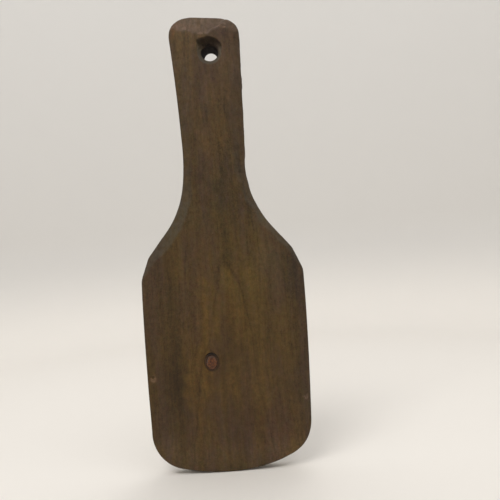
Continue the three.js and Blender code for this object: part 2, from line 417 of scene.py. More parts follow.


# ---------- Old stains and patches of colour, and a few painted highlights ---

# Place (x, z), radii, and what it multiplies red, green and blue by.
FRONT_STAINS_AND_HIGHLIGHTS = [
    # the handle's end
    ((10, 14), (4.5, 2.8), (0.8, 0.78, 0.98)),
    ((-26, 17), (2.6, 1.8), (1.25, 1.02, 0.86)),
    ((-18, 19.4), (4.8, 1.8), (1.24, 1.1, 1.1)),
    ((-6.4, 22), (3.6, 2.6), (1.16, 1.14, 1.0)),
    ((4.8, 20.7), (3.6, 3), (0.86, 0.91, 0.86)),
    ((12, 17.5), (9, 4.5), (1.02, 1.0, 0.97)),
    ((-14, 12), (8, 5), (1.15, 1.14, 1.22)),
    # a painted highlight on the crest beside the hole's ledge
    ((-5.8, 13.8), (2.2, 0.9), (1.3, 1.26, 1.25)),
    # the handle
    ((0, -30), (34, 62), (1.0, 1.02, 1.22)),
    ((-11, -57), (5, 9), (1.1, 1.12, 1.12)),
    ((15, -46), (4.5, 24), (0.87, 0.89, 0.9)),
    ((-19, 2), (8, 5), (1.16, 1.12, 1.14)),
    ((0, -40), (24, 20), (0.95, 0.92, 0.88)),
    ((15, 8), (5.5, 8), (0.93, 0.88, 0.8)),
    ((-5.2, -41), (3.2, 5.2), (0.8, 0.85, 0.95)),
    ((-11.5, -22), (3.4, 4.6), (0.87, 0.87, 1.02)),
    ((10.6, -39), (5.5, 5.5), (0.88, 0.9, 1.02)),
    ((-2, -66), (13, 9), (1.1, 1.07, 0.98)),
    ((0, -20), (9, 6), (1.08, 1.04, 1.0)),
    ((-22, -64), (3.5, 20), (0.94, 0.98, 1.0)),
    ((15, -10), (6, 7), (1.1, 1.1, 1.1)),
    # a painted highlight on the right of the hole's lower bevel
    ((7, -2.4), (1.8, 3.6), (1.42, 1.46, 1.5)),
    ((17, 5), (7, 13), (1.13, 1.14, 1.14)),
    # the neck and the shoulders
    ((38, -150), (5, 8), (0.87, 0.93, 0.97)),
    ((-20, -112), (6, 12), (0.91, 0.97, 1.18)),
    ((25, -122), (6, 10), (0.97, 1.06, 1.2)),
    ((2.5, -138), (4.5, 15), (0.84, 0.86, 0.94)),
    ((-3, -98), (4.5, 4.5), (0.76, 0.8, 0.9)),
    ((3.5, -87), (3.8, 9), (0.74, 0.78, 0.9)),
    ((-13, -90), (4, 5), (0.84, 0.82, 0.92)),
    ((-1, -110), (4.5, 4), (0.82, 0.88, 0.92)),
    ((1, -120), (13, 15), (0.82, 0.86, 0.93)),
    ((0, -105), (9, 10), (0.87, 0.91, 1.02)),
    ((-11.8, -107), (5, 5.5), (1.07, 0.99, 0.98)),
    ((16.4, -110), (7.5, 5.5), (0.9, 0.9, 1.03)),
    ((12.4, -76), (4.2, 13), (0.78, 0.84, 1.0)),
    ((-18.5, -75), (1.2, 12), (0.84, 0.8, 0.9)),
    ((-19.5, -92), (3.2, 12), (0.88, 0.89, 0.92)),
    ((2, -145), (2.6, 6.5), (0.84, 0.88, 0.88)),
    ((-34, -120), (9, 14), (0.95, 1.0, 1.02)),
    # the blade
    ((0, -205), (34, 58), (1.02, 1.0, 0.84)),
    ((-38.7, -210), (3.6, 40), (0.8, 0.81, 0.88)),
    ((-40.5, -241), (5.5, 26), (0.74, 0.74, 0.8)),
    ((-43, -180), (7, 26), (0.9, 0.91, 0.96)),
    ((-42, -232), (6, 14), (0.88, 0.86, 0.92)),
    ((-49, -222), (10, 60), (0.88, 0.87, 0.92)),
    ((-18.3, -198), (4.2, 46), (1.32, 1.28, 1.04)),
    ((-27, -238), (5.5, 36), (1.26, 1.19, 1.06)),
    ((-7.5, -178), (3.5, 24), (1.06, 1.07, 1.0)),
    ((0, -196), (7, 15), (0.97, 0.92, 0.96)),
    ((-2, -243), (7, 9), (1.05, 1.0, 0.95)),
    ((14.5, -268), (9.5, 6.5), (0.87, 0.83, 0.88)),
    ((48, -160), (11, 17), (0.82, 0.88, 1.0)),
    ((26, -153), (8, 13), (1.18, 1.24, 1.16)),
    ((24, -168), (8, 12), (1.05, 1.08, 1.16)),
    ((-3, -157), (5, 8), (1.14, 1.17, 1.08)),
    ((-20, -168), (5, 8), (1.14, 1.16, 1.0)),
    ((6, -161), (13, 17), (1.1, 1.13, 1.02)),
    ((15, -243), (8, 18), (1.14, 1.12, 1.16)),
    ((52.5, -195), (4.5, 36), (0.8, 0.8, 0.92)),
    ((37, -205), (5, 30), (1.06, 1.04, 0.98)),
    ((31, -278), (21, 17), (1.05, 0.98, 1.06)),
    ((24, -160), (20, 34), (1.08, 1.09, 0.96)),
    ((-2, -268), (9, 30), (0.87, 0.87, 0.96)),
    ((13, -284), (7, 12), (0.89, 0.9, 0.98)),
    ((-45, -244), (6, 22), (0.88, 0.88, 0.88)),
    ((53, -262), (4.5, 30), (0.87, 0.92, 0.94)),
    ((-2, -298), (70, 14), (1.2, 1.24, 1.5)),
    ((-46, -290), (12, 12), (1.14, 1.19, 1.35)),
    ((30, -290), (14, 10), (1.17, 1.2, 1.2)),
    ((50, -262), (8, 22), (0.93, 0.94, 1.14)),
    ((38, -190), (16, 40), (1.0, 1.02, 1.12)),
    ((8, -306), (30, 5), (0.84, 0.9, 0.95)),
    # the knot
    ((-14, -214.5), (2.8, 4.4), (0.64, 0.62, 0.74)),
    ((-14.7, -224.3), (6.8, 8.4), (0.84, 0.78, 0.86)),
    ((-12.5, -235), (4, 3.5), (0.85, 0.83, 0.92)),
]
BACK_STAINS = [
    ((-30, -200), (9, 60), (0.88, 0.88, 0.92)),
    ((20, -240), (16, 40), (1.08, 1.05, 0.98)),
    ((35, -170), (8, 22), (0.88, 0.9, 0.95)),
    ((-5, -60), (10, 26), (1.06, 1.03, 1.0)),
    ((4, -104), (7, 9), (0.86, 0.87, 0.93)),
    ((-20, -285), (20, 9), (0.93, 0.91, 0.94)),
    ((0, 4), (15, 14), (0.9, 0.9, 0.94)),
]


def stain_and_highlight(points, stains, seed):
    """What the stains and painted highlights multiply each point's colour by. Their outlines wander, as
    soaked-in marks do.
    """
    x, z = points.T
    x = x + 1.3 * soft_noise(x, z, 12, seed)
    z = z + 2.2 * soft_noise(x, z, 15, seed + 1)
    tint = np.ones((len(points), 3))
    for (at_x, at_z), (across, down), colour in stains:
        reach = ((x - at_x) / across) ** 2 + ((z - at_z) / down) ** 2
        share = np.exp(-0.8 * reach)[:, None]
        tint *= 1 + share * (np.array(colour) - 1)
    return tint


# ---------- The board's mesh ----------

# One triangulated sheet of points serves both faces, and walls join its rims. These are the distances
# between the grid's points, and of the rings of points from each rim.
GRID = 1.15
GRID_CLEARANCE = 0.6 * GRID
BORE_RINGS = [0.4 * ring for ring in range(19)]
KNOT_RINGS = [0, 0.3, 0.75, 1.4, 2.2]
EDGE_RINGS = [0, 0.12, 0.38, 0.75, 1.2]
BORE_POINTS, KNOT_POINTS = 128, 84  # in each ring


def ellipse(centre, radii, count):
    turn = np.linspace(0, 2 * math.pi, count, endpoint=False)
    return np.stack([centre[0] + radii[0] * np.cos(turn), centre[1] + radii[1] * np.sin(turn)], axis=1)


def hex_grid(low, high, step):
    rows = np.arange(low[1], high[1], step * math.sqrt(3) / 2)
    points = []
    for number, z in enumerate(rows):
        offset = 0.5 * step * (number % 2)
        xs = np.arange(low[0] + offset, high[0], step)
        points.append(np.stack([xs, np.full(len(xs), z)], axis=1))
    return np.vstack(points)


def inside_loop(points, loop):
    """True for each point inside the closed loop, by counting crossings."""
    x, z = points.T
    hits = np.zeros(len(points), int)
    for (x0, z0), (x1, z1) in zip(loop, np.roll(loop, -1, axis=0)):
        if z0 == z1:
            continue
        spans = (z0 > z) != (z1 > z)
        hits += spans & (x < x0 + (z - z0) * (x1 - x0) / (z1 - z0))
    return hits % 2 == 1


def make_sheet():
    """Points (x, z), triangles, and the three rims' point numbers: outline, bore and knot."""
    rim = KNOT_RING + KNOT_SEAM
    normals = outward_normals(outline)
    edge = [outline - normals * inset for inset in EDGE_RINGS]
    bore = [ellipse((0, 0), (BORE + grow, BORE + grow), BORE_POINTS) for grow in BORE_RINGS]
    knot = [ellipse(KNOT, rim + grow, KNOT_POINTS) for grow in KNOT_RINGS]
    grid = hex_grid(outline.min(axis=0), outline.max(axis=0), GRID)
    grid = grid[inside_loop(grid, outline)]
    grid = grid[nearest_on_outline(grid)[0] > EDGE_RINGS[-1] + GRID_CLEARANCE]
    grid = grid[np.hypot(*grid.T) > BORE + BORE_RINGS[-1] + GRID_CLEARANCE]
    grid = grid[np.hypot(*((grid - KNOT) / (rim + KNOT_RINGS[-1] + GRID_CLEARANCE)).T) > 1]
    points = np.vstack([edge[0], bore[0], knot[0], *edge[1:], *bore[1:], *knot[1:], grid])
    rims, borders, first = [], [], 0
    for loop in (edge[0], bore[0], knot[0]):
        numbers = np.arange(first, first + len(loop))
        rims.append(numbers)
        borders += zip(numbers.tolist(), np.roll(numbers, -1).tolist())
        first += len(loop)
    made = delaunay_2d_cdt([Vector(p) for p in points.tolist()], borders, [], 1, 1e-6)
    placed, triangles = np.array([tuple(v) for v in made[0]]), np.array(made[2])
    if len(placed) != len(points):
        raise ValueError("the triangulation added or merged points")
    order = np.array([came_from[0] for came_from in made[3]])
    placed_points = np.empty_like(points)
    placed_points[order] = placed
    triangles = order[triangles]
    # triangles inside a hole have all their points on its rim
    for hole_rim in rims[1:]:
        triangles = triangles[~np.isin(triangles, hole_rim).all(axis=1)]
    return placed_points, triangles, rims


def mesh_object(name, vertices, faces, floats=(), colours=()):
    """A smooth-shaded object from millimetre vertices, with its masks stored on the points."""
    mesh = bpy.data.meshes.new(name)
    mesh.from_pydata((np.asarray(vertices) * MM).tolist(), [], [list(face) for face in faces])
    for label, values in dict(floats).items():
        mask = mesh.attributes.new(label, "FLOAT", "POINT")
        mask.data.foreach_set("value", values.astype(np.float32))
    for label, values in dict(colours).items():
        rgba = np.ones((len(values), 4), np.float32)
        rgba[:, :3] = values
        tint = mesh.attributes.new(label, "FLOAT_COLOR", "POINT")
        tint.data.foreach_set("color", rgba.ravel())
    shell = bmesh.new()
    shell.from_mesh(mesh)
    bmesh.ops.recalc_face_normals(shell, faces=shell.faces)
    shell.to_mesh(mesh)
    shell.free()
    mesh.polygons.foreach_set("use_smooth", [True] * len(mesh.polygons))
    piece = bpy.data.objects.new(name, mesh)
    bpy.context.scene.collection.objects.link(piece)
    return piece


def wall_faces(rows):
    """Quads between neighbouring closed rows of point numbers."""
    faces = []
    for upper, lower in zip(rows, rows[1:]):
        for i in range(len(upper)):
            j = (i + 1) % len(upper)
            faces.append((upper[i], upper[j], lower[j], lower[i]))
    return faces


WALL_ROWS = 11


def back_of(points):
    """The front's points as they lie on the back. Both holes narrow, so points near them close in."""
    share = knot_radius_share(*points.T)
    knot_pull = KNOT_NARROWING * np.exp(-np.clip(share - 1, 0, None) * 2.2)
    from_bore = np.hypot(*points.T)
    bore_pull = (BORE - BORE_AT_BACK) * np.exp(-(from_bore - BORE) / 3) / from_bore
    return points - (points - KNOT) * knot_pull[:, None] - points * bore_pull[:, None]


def wall_wander(middle, t, is_outline):
    """How far a wall's points stand out of true at the share t of the way to the back."""
    x, z = middle[:, 0], middle[:, 2]
    if is_outline:
        wander = 0.16 * soft_noise(x + 40 * t, z, 17, 71) + 0.05 * soft_noise(x, z + 9 * t, 5, 72)
    else:
        wander = 0.07 * soft_noise(x + 7 * t, z + 30 * t, 4, 73)
    return np.sin(math.pi * t) * wander


def build_board():
    points, triangles, rims = make_sheet()
    distance, place = nearest_on_outline(points)
    back_points = back_of(points)
    front_depth, front_masks = front_relief(points, distance, place)
    back_depth, back_masks = back_relief(back_points, distance, place)
    count = len(points)
    front = np.stack([points[:, 0], front_level(points[:, 1]) + front_depth, points[:, 1]], axis=1)
    back = np.stack([back_points[:, 0], BACK - back_depth, back_points[:, 1]], axis=1)
    vertices = [front, back]
    masks = {label: [front_masks[label], back_masks[label]] for label in front_masks}
    # the wall mask marks the side walls, which the material darkens a little as painted shade; the bore
    # mask marks the bore, painted near black
    for label in ("wall", "bore"):
        masks[label] = [np.zeros(count), np.zeros(count)]
    tints = [stain_and_highlight(points, FRONT_STAINS_AND_HIGHLIGHTS, 51), stain_and_highlight(points, BACK_STAINS, 61)]
    faces = [tuple(t) for t in triangles.tolist()]
    faces += [tuple(t[::-1]) for t in (triangles + count).tolist()]
    total = 2 * count
    for kind, rim in zip(("wall", "bore", "knot"), rims):
        normals = outward_normals(points[rim])
        rows = [rim]
        for row in range(1, WALL_ROWS):
            t = row / WALL_ROWS
            middle = front[rim] * (1 - t) + back[rim] * t
            middle[:, [0, 2]] += normals * wall_wander(middle, t, kind == "wall")[:, None]
            vertices.append(middle)
            rows.append(np.arange(total, total + len(rim)))
            total += len(rim)
            levels = {kind: 1.0, "rim": math.exp(-min(t, 1 - t) * 6)}
            for label, parts in masks.items():
                parts.append(np.full(len(rim), levels.get(label, 0.0)))
            tints.append(tints[0][rim] * (1 - t) + tints[1][rim] * t)
        rows.append(rim + count)
        faces += wall_faces(rows)
    floats = {label: np.concatenate(parts) for label, parts in masks.items()}
    return mesh_object("paddle_board", np.vstack(vertices), faces, floats, {"stain_and_highlight": np.vstack(tints)})


# ---------- The knot: a stub of branch wood inside a sleeve of old bark ----------

KNOT_SIDES = 96
HEART_DROP = 0.5  # how much lower the heart's middle is than the sleeve's
HEART_UNEVEN = 0.02  # share by which the heart's outline wanders in and out


def through_knot(t):
    """The y at the share t of the way from the front to the back, at the knot."""
    return front_level(KNOT[1]) * (1 - t) + BACK * t


def knot_ring(radii, y, roughness, drop):
    """One closed ring of points on the knot, at y. `roughness` moves it in and out."""
    loop = ellipse((0, 0), (1, 1), KNOT_SIDES)
    uneven = 1 + roughness * soft_noise(loop[:, 0] * 6, loop[:, 1] * 6, 5, 82)
    x = KNOT[0] + radii[0] * loop[:, 0] * uneven
    z = KNOT[1] - drop + radii[1] * loop[:, 1] * uneven
    return np.stack([x, np.broadcast_to(y, x.shape), z], axis=1)


def ring_numbers(rings):
    """The point numbers of each ring when the rings are stacked in order."""
    return [np.arange(KNOT_SIDES) + KNOT_SIDES * number for number in range(len(rings))]


def core_surface(share, loop_x, loop_z):
    """How far the core's front stands below the board's: worn hollow at its rim, checked across."""
    check = np.exp(-(((loop_x * 0.5 + loop_z) / 0.28) ** 2)) * np.exp(-((share / 0.75) ** 4))
    second = np.exp(-(((loop_x - 0.35 * loop_z - 1.1) / 0.22) ** 2)) * (share < 0.8)
    lumps = 0.06 * soft_noise(loop_x, loop_z, 2.6, 81)
    return 0.12 + 0.3 * share**6 + 0.2 * check + 0.13 * second + lumps


def heart_ring(radii, y):
    return knot_ring(radii, y, HEART_UNEVEN, HEART_DROP)


def build_knot_core():
    shares = [1.0, 0.97, 0.9, 0.8, 0.68, 0.55, 0.42, 0.28, 0.14]
    back_radii = KNOT_CORE * (1 - KNOT_NARROWING)
    rings = []
    for share in reversed(shares):
        ring = heart_ring(KNOT_CORE * share, through_knot(0))
        ring[:, 1] += core_surface(share, ring[:, 0] - KNOT[0], ring[:, 2] - KNOT[1])
        rings.append(ring)
    for t in (0.1, 0.3, 0.5, 0.7, 0.9):
        rings.append(heart_ring(KNOT_CORE * (1 - t) + back_radii * t, through_knot(t)))
    for share in shares:
        ring = heart_ring(back_radii * share, BACK - 0.15)
        ring[:, 1] -= 0.5 * core_surface(share, ring[:, 0] - KNOT[0], ring[:, 2] - KNOT[1])
        rings.append(ring)
    rows = ring_numbers(rings)
    faces = wall_faces(rows)
    middles = []
    for row, ring in ((rows[0], rings[0]), (rows[-1], rings[-1])):
        number = len(rings) * KNOT_SIDES + len(middles)
        middles.append((KNOT[0], ring[:, 1].mean(), KNOT[1] - HEART_DROP))
        faces += [(row[i], row[(i + 1) % KNOT_SIDES], number) for i in range(KNOT_SIDES)]
    return mesh_object("knot_heart", np.vstack([*rings, middles]), faces)


def build_knot_bark():
    inner, outer = KNOT_CORE + 0.1, KNOT_RING
    # round the sleeve's section: share of the way out through its wall, y, and scale
    stations = []
    for share, sunk in ((0.0, 0.75), (0.12, 0.5), (0.35, 0.38), (0.6, 0.34), (0.85, 0.42), (1.0, 0.62)):
        stations.append((share, through_knot(0) + sunk, 1.0))
    for t in (0.25, 0.5, 0.75):
        stations.append((1.0, through_knot(t), 1 - KNOT_NARROWING * t))
    for share, sunk in ((1.0, 0.6), (0.8, 0.4), (0.5, 0.35), (0.2, 0.42), (0.0, 0.6)):
        stations.append((share, BACK - sunk, 1 - KNOT_NARROWING))
    for t in (0.75, 0.5, 0.25):
        stations.append((0.0, through_knot(t), 1 - KNOT_NARROWING * t))
    rings = []
    for share, y, scale in stations:
        radii = (inner * (1 - share) + outer * share) * scale
        ring = knot_ring(radii, y, HEART_UNEVEN * (1 - share), HEART_DROP * (1 - share))
        ring[:, 1] += 0.07 * soft_noise(ring[:, 0], ring[:, 2], 1.6, 91)
        rings.append(ring)
    rows = ring_numbers(rings)
    return mesh_object("knot_bark", np.vstack(rings), wall_faces(rows + [rows[0]]))


# ---------- Materials ----------


class Graph:
    """Short names for the nodes that the materials are made of."""

    def __init__(self, name):
        self.material = bpy.data.materials.new(name)
        self.material.use_nodes = True
        self.tree = self.material.node_tree
        self.tree.nodes.clear()
        self.shader = self.tree.nodes.new("ShaderNodeBsdfPrincipled")
        output = self.tree.nodes.new("ShaderNodeOutputMaterial")
        self.tree.links.new(self.shader.outputs[0], output.inputs[0])

    def add(self, kind, inputs=(), **settings):
        node = self.tree.nodes.new(kind)
        for key, value in settings.items():
            setattr(node, key, value)
        for key, value in dict(inputs).items():
            self.put(node.inputs[key], value)
        return node

    def put(self, socket, value):
        if isinstance(value, bpy.types.NodeSocket):
            self.tree.links.new(value, socket)
        elif isinstance(value, (tuple, list)) and len(value) == 3 and socket.type == "RGBA":
            socket.default_value = (*value, 1)
        else:
            socket.default_value = value

    def math(self, operation, a, b=0.0, clamp=False):
        return self.add("ShaderNodeMath", {0: a, 1: b}, operation=operation, use_clamp=clamp).outputs[0]

    def times(self, a, b):
        return self.math("MULTIPLY", a, b)

    def plus(self, a, b):
        return self.math("ADD", a, b)

    def minus(self, a, b):
        return self.math("SUBTRACT", a, b)

    def layered(self, total, layers):
        """The total plus each layer times its strength."""
        for layer, strength in layers:
            total = self.plus(total, self.times(layer, strength))
        return total

    def vector(self, operation, a, b=(0, 0, 0)):
        return self.add("ShaderNodeVectorMath", {0: a, 1: b}, operation=operation).outputs[0]

    def scaled(self, vector, factors):
        return self.vector("MULTIPLY", vector, factors)

    def dot(self, vector, axis):
        node = self.add("ShaderNodeVectorMath", {0: vector, 1: axis}, operation="DOT_PRODUCT")
        return node.outputs[1]

    def combine(self, x, y, z):
        return self.add("ShaderNodeCombineXYZ", {0: x, 1: y, 2: z}).outputs[0]

    def split(self, vector):
        return self.add("ShaderNodeSeparateXYZ", {0: vector}).outputs

    def noise(self, vector, detail=2.0, roughness=0.5, distortion=0.0, output=0):
        inputs = {"Vector": vector, "Scale": 1.0, "Detail": detail, "Roughness": roughness,
                  "Distortion": distortion}
        return self.add("ShaderNodeTexNoise", inputs).outputs[output]

    def spread(self, value, low, high, to_low=0.0, to_high=1.0):
        """The value's low..high moved to to_low..to_high, smoothly and held at both ends."""
        inputs = {0: value, 1: low, 2: high, 3: to_low, 4: to_high}
        return self.add("ShaderNodeMapRange", inputs, interpolation_type="SMOOTHSTEP").outputs[0]

    def mix(self, share, a, b):
        node = self.add("ShaderNodeMix", data_type="RGBA")
        self.put(node.inputs[0], share)
        self.put(node.inputs[6], a)
        self.put(node.inputs[7], b)
        return node.outputs[2]

    def darken(self, colour, factor):
        """The colour times a single number that a node gives."""
        return self.scaled(colour, self.combine(factor, factor, factor))

    def mask(self, label, output="Fac"):
        """A value that the mesh stores on its points."""
        return self.add("ShaderNodeAttribute", attribute_name=label).outputs[output]

    def place(self):
        """The point's place in the object's own frame, in millimetres."""
        coordinates = self.add("ShaderNodeTexCoord").outputs["Object"]
        return self.scaled(coordinates, (1000, 1000, 1000))

    def bell(self, value, centre, width):
        """1 where the value is at the centre, falling away over the width."""
        away = self.math("DIVIDE", self.minus(value, centre), width)
        return self.math("EXPONENT", self.times(self.times(away, away), -1.0))

    def bump(self, height, strength, distance):
        inputs = {"Strength": strength, "Distance": distance, "Height": height}
        self.put(self.shader.inputs["Normal"], self.add("ShaderNodeBump", inputs).outputs[0])

    def finish(self, colour, roughness, specular):
        self.put(self.shader.inputs["Base Color"], colour)
        self.put(self.shader.inputs["Roughness"], roughness)
        self.shader.inputs["Specular IOR Level"].default_value = specular
        return self.material


# The figure of the wood: cones of yearly growth, cut at a slant by the face, so they show as nested
# arches whose tip is at ARCH_TOP on the front.
ARCH_TOP = -151.0
ARCH_DEPTH = 10.7  # from the cones' axis to the front
ARCH_SPREAD = 0.1447
ARCH_CHANGE = 0.45  # how much of each millimetre through the board counts towards the age
FACE_DEPTH = 6.0  # the front's distance from the plane y = 0 at the tip
# The dark year lines: age in millimetres from the innermost arch, width, strength.
YEAR_LINES = [(0.0, 0.55, 0.23), (-4.6, 0.5, 0.06), (-9.5, 0.6, 0.06), (6.8, 0.5, 0.07),
              (12.2, 0.7, 0.06), (18.8, 0.6, 0.12), (25.5, 0.7, 0.06), (31.0, 0.6, 0.07),
              (37.5, 0.6, 0.08), (43.5, 0.6, 0.07)]

WOOD_OCHRE = (0.0755, 0.0440, 0.0126)
WOOD_BROWN = (0.0598, 0.0350, 0.0168)
# paler fresh wood in the end cuts, with a painted highlight where they face up
CUT_WOOD_AND_HIGHLIGHT = (0.1160, 0.0740, 0.0450)
BARE_WOOD_AND_HIGHLIGHT = (0.1700, 0.1000, 0.0560)
# grey for a painted sheen on the side facets, and for wear and a painted highlight along the rims
GREY_WEAR_AND_SHEEN = (0.0650, 0.0550, 0.0380)
# a painted highlight for the lower bevel of the hole's mouth
BEVEL_HIGHLIGHT_GREY = (0.0640, 0.0570, 0.0350)
# grime and painted shade: the dark of the hole's ledge and bore, and of the pits in the chips
GRIME_AND_SHADE = (0.0120, 0.0085, 0.0078)
HEART_DARK = (0.0480, 0.0135, 0.0050)
HEART_RED = (0.1360, 0.0450, 0.0100)
HEART_PITS = (0.0260, 0.0105, 0.0060)
HEART_RIM = (0.0820, 0.0520, 0.0350)
BARK_DARK = (0.0360, 0.0205, 0.0118)
BARK_PALE = (0.0680, 0.0385, 0.0200)
BARK_BLACK = (0.0125, 0.0105, 0.0095)


def grain_place(g, place):
    """x, y and z for the grain, which wanders slowly from side to side and swings out round the knot."""
    x, y, z = g.split(place)
    slow = g.noise(g.scaled(place, (0.022, 0.022, 0.0075)), 2.0, output="Color")
    x = g.plus(x, g.times(g.minus(g.split(slow)[0], 0.5), 6.0))
    waver = g.noise(g.scaled(place, (0.1, 0.1, 0.035)), 2.0)
    x = g.plus(x, g.times(g.minus(waver, 0.5), 2.6))
    from_knot = g.minus(x, float(KNOT[0]))
    near_knot = g.times(g.bell(from_knot, 0.0, 9.0), g.bell(z, float(KNOT[1]), 15.0))
    x = g.minus(x, g.times(from_knot, g.times(near_knot, 0.4)))
    return x, y, z


def wood_age(g, x, y, z):
    """How far the wood lies outside the innermost arch, measured from the cones' axis."""
    axis = g.plus(g.spread(z, -172.0, -151.0, 1.6, -1.6), g.spread(z, -242.0, -200.0, -4.8, 0.0))
    across = g.minus(x, axis)
    through = g.plus(g.times(y, ARCH_CHANGE), ARCH_DEPTH + ARCH_CHANGE * FACE_DEPTH)
    square = g.plus(g.times(across, across), g.times(through, through))
    age = g.plus(g.math("SQRT", square), g.times(z, ARCH_SPREAD))
    return g.plus(age, -ARCH_DEPTH - ARCH_SPREAD * ARCH_TOP)


def light_scratches(g, place):
    """1 on faint scratches that run in three directions."""
    scratches = 0.0
    for degrees, offset in ((34, 3.0), (80, 11.0), (-52, 23.0)):
        turn = math.radians(degrees)
        over = g.dot(place, (math.cos(turn), 0, math.sin(turn)))
        on = g.dot(place, (-math.sin(turn), 0, math.cos(turn)))
        strokes = g.combine(g.times(over, 1.1), offset, g.times(on, 0.06))
        found = g.spread(g.noise(strokes, 1.0, 0.4), 0.69, 0.78)
        scratches = g.plus(found, scratches)
    return scratches


def board_wood():
    g = Graph("board_wood")
    place = g.place()
    x, y, z = grain_place(g, place)
    age = wood_age(g, x, y, z)
    # broad bands and single dark year lines that follow the age
    banding = g.combine(g.times(age, 0.22), 0.0, g.times(z, 0.004))
    bands = g.noise(banding, 3.0, 0.6)
    breaks = g.noise(g.scaled(place, (0.12, 0.12, 0.035)), 3.0)
    years = [(g.bell(age, centre, width), strength) for centre, width, strength in YEAR_LINES]
    lines = g.layered(0.0, years)
    lines = g.times(lines, g.spread(breaks, 0.3, 0.62, 0.65, 1.25))
    # streaks, fibres, fine fibres and open pores, all drawn out along the board
    grain = g.combine(x, y, z)
    streaks = g.noise(g.scaled(grain, (0.17, 0.1, 0.006)), 2.0, 0.55)
    fibres = g.noise(g.scaled(grain, (0.62, 0.62, 0.022)), 3.0, 0.6)
    fine = g.noise(g.scaled(grain, (2.6, 2.6, 0.1)), 3.0, 0.6)
    open_pores = g.noise(g.scaled(grain, (3.0, 3.0, 0.22)), 1.0, 0.5, 0.2)
    pores = g.spread(open_pores, 0.62, 0.74)
    # patina: blotches of ochre and brown, a mottle of grease and dust, specks, and light scratches
    blotch = g.noise(g.scaled(place, (0.06, 0.06, 0.02)), 4.0, 0.62)
    mottle = g.noise(g.scaled(place, (0.34, 0.34, 0.3)), 4.0, 0.6)
    specks = g.noise(g.scaled(place, (1.1, 1.1, 1.0)), 3.0, 0.6)
    scratches = light_scratches(g, place)
    hue = g.layered(0.0, ((blotch, 0.5), (streaks, 0.3), (mottle, 0.2)))
    colour = g.mix(g.spread(hue, 0.42, 0.58), WOOD_OCHRE, WOOD_BROWN)
    tone = g.spread(bands, 0.32, 0.68, -0.05, 0.05)
    contrasts = ((streaks, 0.13), (fibres, 0.13), (fine, 0.06), (mottle, 0.18), (specks, 0.15))
    for layer, strength in contrasts:
        tone = g.plus(tone, g.spread(layer, 0.3, 0.7, -strength, strength))
    tone = g.plus(tone, g.spread(age, -1.6, 0.3, 0.045, 0.0))
    marks = ((lines, -1.0), (pores, -0.12), (scratches, 0.1), (g.mask("border"), -0.08))
    tone = g.layered(tone, marks)
    colour = g.darken(colour, g.plus(tone, 1.02))
    # old grease and dust tint it unevenly, redder here and greener there
    dust = g.noise(g.scaled(place, (0.42, 0.42, 0.34)), 4.0, 0.65, output="Color")
    tint = g.vector("ADD", g.scaled(dust, (0.5, 0.36, 0.6)), (0.75, 0.82, 0.7))
    colour = g.scaled(colour, tint)
    # a painted sheen of grey on the side facets, the paler cut end with a painted highlight, grey wear
    # and a painted highlight on the rims, a painted highlight on the mouth's bevel, and bare wood in the
    # chips with painted highlights on the handle's end
    # painted sheen: the side facets turn grey, most from the shoulders down
    patchy = g.spread(mottle, 0.35, 0.65, 0.4, 1.0)
    shoulders = g.spread(z, -120.0, -70.0, 0.62, 0.1)
    grey = g.times(g.times(g.mask("facet"), shoulders), patchy)
    colour = g.mix(grey, colour, GREY_WEAR_AND_SHEEN)
    # paler fresh wood in the end cuts, with a painted highlight where they face the light from above
    end_cut = g.times(g.mask("end_cut"), g.spread(fibres, 0.35, 0.62, 0.5, 0.95))
    colour = g.mix(g.times(end_cut, patchy), colour, CUT_WOOD_AND_HIGHLIGHT)
    # grey wear and a painted highlight along the eased rims
    worn = g.times(g.spread(breaks, 0.45, 0.7), g.times(g.mask("rim"), 0.3))
    colour = g.mix(worn, colour, GREY_WEAR_AND_SHEEN)
    # painted highlight: the mouth's lower bevel is painted a lighter grey
    colour = g.mix(g.times(g.mask("mouth"), 0.62), colour, BEVEL_HIGHLIGHT_GREY)
    # bare wood in the chips, and painted highlights along the crests of the handle's end
    bare = g.times(g.spread(g.mask("pale"), 0.1, 0.9), 0.85)
    colour = g.mix(g.times(bare, g.spread(specks, 0.35, 0.6, 0.5, 1.0)), colour, BARE_WOOD_AND_HIGHLIGHT)
    # old stains, and a few painted highlights on the handle's end and the hole's bevel
    colour = g.scaled(colour, g.mask("stain_and_highlight", "Color"))
    # grime and painted shade in the hole's ledge and bore, dark pits in the chips, and painted shade
    # that makes the side walls slightly darker
    pit = g.spread(g.times(g.mask("pale"), -1.0), 0.1, 0.8, 0.0, 0.45)
    dirt_and_shade = g.times(g.mask("dirt_and_shade"), g.spread(mottle, 0.3, 0.7, 0.75, 1.0))
    # the bore's wall is painted almost black: grime and painted shade
    dirt_and_shade = g.math("MAXIMUM", g.math("MAXIMUM", dirt_and_shade, pit), g.times(g.mask("bore"), 0.92))
    colour = g.mix(dirt_and_shade, colour, GRIME_AND_SHADE)
    # painted shade: the side walls are made a little darker
    colour = g.darken(colour, g.minus(1.0, g.times(g.mask("wall"), 0.1)))
    # sheen: handled places are smoother, pores and grime are dull
    roughness = g.spread(blotch, 0.3, 0.7, 0.5, 0.64)
    roughness = g.plus(roughness, g.spread(fibres, 0.3, 0.7, -0.06, 0.06))
    roughness = g.plus(roughness, g.times(pores, 0.15))
    roughness = g.math("ADD", roughness, g.times(dirt_and_shade, 0.3), True)
    # relief too fine for the mesh
    reliefs = ((fibres, 1.2), (fine, 0.5), (mottle, 0.7), (specks, 0.35), (pores, -0.8), (lines, -1.0),
               (scratches, -0.3))
    g.bump(g.layered(0.0, reliefs), 0.6, 0.00025)
    return g.finish(colour, roughness, 0.22)


